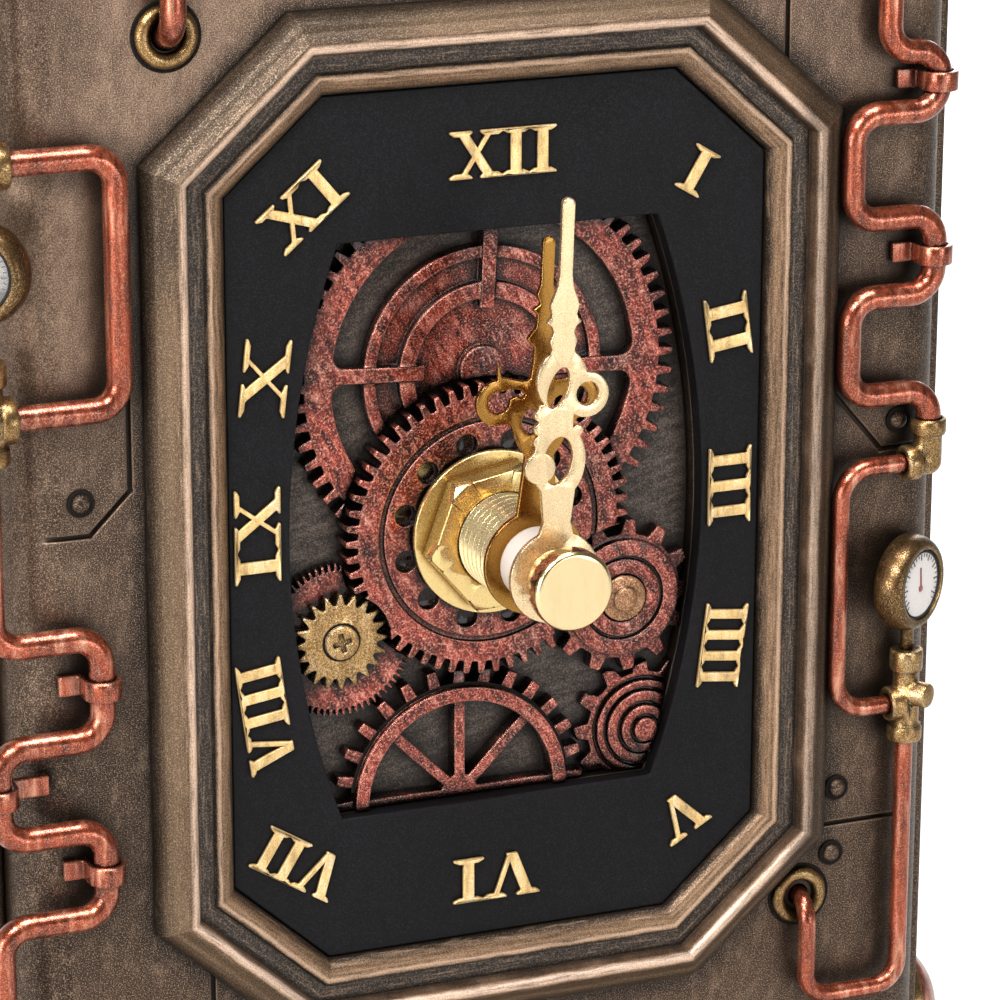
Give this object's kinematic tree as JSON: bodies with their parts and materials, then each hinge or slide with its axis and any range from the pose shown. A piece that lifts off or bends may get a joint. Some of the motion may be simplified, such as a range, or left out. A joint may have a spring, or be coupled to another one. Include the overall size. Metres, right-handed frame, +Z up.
{
  "type": "steampunk desk clock",
  "caption": "Upright bronze desk clock with copper pipes and gauges, an octagonal bezel, Roman numerals and ornate brass hands over a relief of gear wheels.",
  "frame": {"origin": "middle of the underside of the felt under the base", "axes": "+Z up, the dial faces -Y, +X to the right as the dial is read"},
  "size_m": [0.115, 0.0743, 0.1601],
  "materials": {
    "case_bronze": "cast resin with a dark bronze wash, rubbed lighter on the edges",
    "panel_bronze": "cast resin, dark brown bronze",
    "bezel_bronze": "cast resin, antique bronze with a rubbed ridge",
    "copper": "aged red copper, satin",
    "relief_copper": "cast resin with a reddish copper wash",
    "relief_floor": "dark grey-brown, matt",
    "antique_brass": "antique brass, satin",
    "bright_brass": "polished brass",
    "dial_black": "satin black",
    "numeral_gold": "gold paint",
    "white_plastic": "smooth white",
    "gauge_paper": "printed, off-white",
    "gauge_glass": "clear, domed",
    "black_plastic": "moulded black",
    "rubber_black": "matt black",
    "green_board": "green circuit board",
    "coil_copper": "wound enamelled copper wire",
    "steel": "bright steel",
    "battery_can": "plain dark grey sleeve",
    "felt_green": "dark green felt"
  },
  "bodies": {
    "clock_case": {"case_shell": "case_bronze", "rear_cover": "panel_bronze", "cover_screws": "steel", "base_plinth": "case_bronze", "base_bead": "copper", "base_felt": "felt_green", "top_cornice": "case_bronze", "side_panels": "panel_bronze", "side_domes": "copper", "dome_rings": "antique_brass", "bezel_frame": "bezel_bronze", "dial_plate": "dial_black", "hour_numerals": "numeral_gold", "relief_plate": "relief_floor", "relief_great_wheel": "relief_copper", "relief_centre_wheel": "relief_copper", "relief_fine_wheel": "relief_copper", "relief_brass_pinion": "antique_brass", "relief_spoked_wheel": "relief_copper", "relief_hub_wheel": "relief_copper", "relief_brass_hub": "antique_brass", "relief_stepped_wheel": "relief_copper", "left_upper_pipe": "copper", "left_loop_pipe": "copper", "left_serpentine_pipe": "copper", "right_serpentine_pipe": "copper", "right_loop_pipe": "copper", "right_lower_pipe": "copper", "left_fittings": "antique_brass", "right_fittings": "antique_brass", "pipe_clamps": "copper", "pipe_grommets": "antique_brass", "case_rivets": "panel_bronze", "gauge_bodies": "antique_brass", "gauge_dials": "gauge_paper", "gauge_lenses": "gauge_glass", "movement_housing": "black_plastic", "movement_cover": "black_plastic", "circuit_board": "green_board", "motor_coil": "coil_copper", "motor_stator": "steel", "threaded_stem": "bright_brass", "stem_washer": "bright_brass", "stem_nut": "bright_brass", "stem_gasket": "rubber_black", "battery": "battery_can", "battery_contacts": "steel"},
    "hour_hand_set": {"hour_wheel": "white_plastic", "hour_hand": "bright_brass", "hour_collar": "white_plastic"},
    "minute_hand_set": {"minute_arbor": "white_plastic", "minute_hand": "bright_brass", "hand_cap": "bright_brass"},
    "setting_set": {"setting_arbor": "white_plastic", "setting_knob": "black_plastic"},
    "centre_set": {"centre_wheel": "white_plastic"},
    "third_set": {"third_wheel": "white_plastic"},
    "seconds_set": {"seconds_wheel": "white_plastic"},
    "intermediate_set": {"intermediate_wheel": "white_plastic"},
    "rotor_set": {"rotor": "steel"}
  },
  "joints": [
    {"name": "minute_turn", "type": "hinge", "parent": "clock_case", "child": "minute_hand_set", "pos_m": [-0.0009, -0.0222, 0.08885], "axis": [0, 1, 0], "continuous": true},
    {"name": "hour_turn", "type": "hinge", "parent": "clock_case", "child": "hour_hand_set", "pos_m": [-0.0009, -0.0222, 0.08885], "axis": [0, 1, 0], "continuous": true},
    {"name": "setting_turn", "type": "hinge", "parent": "clock_case", "child": "setting_set", "pos_m": [0.01102, -0.0222, 0.09095], "axis": [0, 1, 0], "continuous": true},
    {"name": "rotor_turn", "type": "hinge", "parent": "clock_case", "child": "rotor_set", "pos_m": [0.00758, -0.0222, 0.10538], "axis": [0, 1, 0], "continuous": true},
    {"name": "intermediate_turn", "type": "hinge", "parent": "clock_case", "child": "intermediate_set", "pos_m": [0.00032, -0.0222, 0.10538], "axis": [0, 1, 0], "continuous": true},
    {"name": "seconds_turn", "type": "hinge", "parent": "clock_case", "child": "seconds_set", "pos_m": [-0.00961, -0.0222, 0.10176], "axis": [0, 1, 0], "continuous": true},
    {"name": "third_turn", "type": "hinge", "parent": "clock_case", "child": "third_set", "pos_m": [-0.01139, -0.0222, 0.09166], "axis": [0, 1, 0], "continuous": true},
    {"name": "centre_turn", "type": "hinge", "parent": "clock_case", "child": "centre_set", "pos_m": [-0.0009, -0.0222, 0.08885], "axis": [0, 1, 0], "continuous": true}
  ],
  "couplings": [
    {"joint": "hour_turn", "follows": "minute_turn", "ratio": 0.083333},
    {"joint": "setting_turn", "follows": "minute_turn", "ratio": -0.33333},
    {"joint": "intermediate_turn", "follows": "rotor_turn", "ratio": -0.2},
    {"joint": "seconds_turn", "follows": "rotor_turn", "ratio": 0.033333},
    {"joint": "third_turn", "follows": "rotor_turn", "ratio": -0.0044444},
    {"joint": "centre_turn", "follows": "rotor_turn", "ratio": 0.00055556}
  ]
}
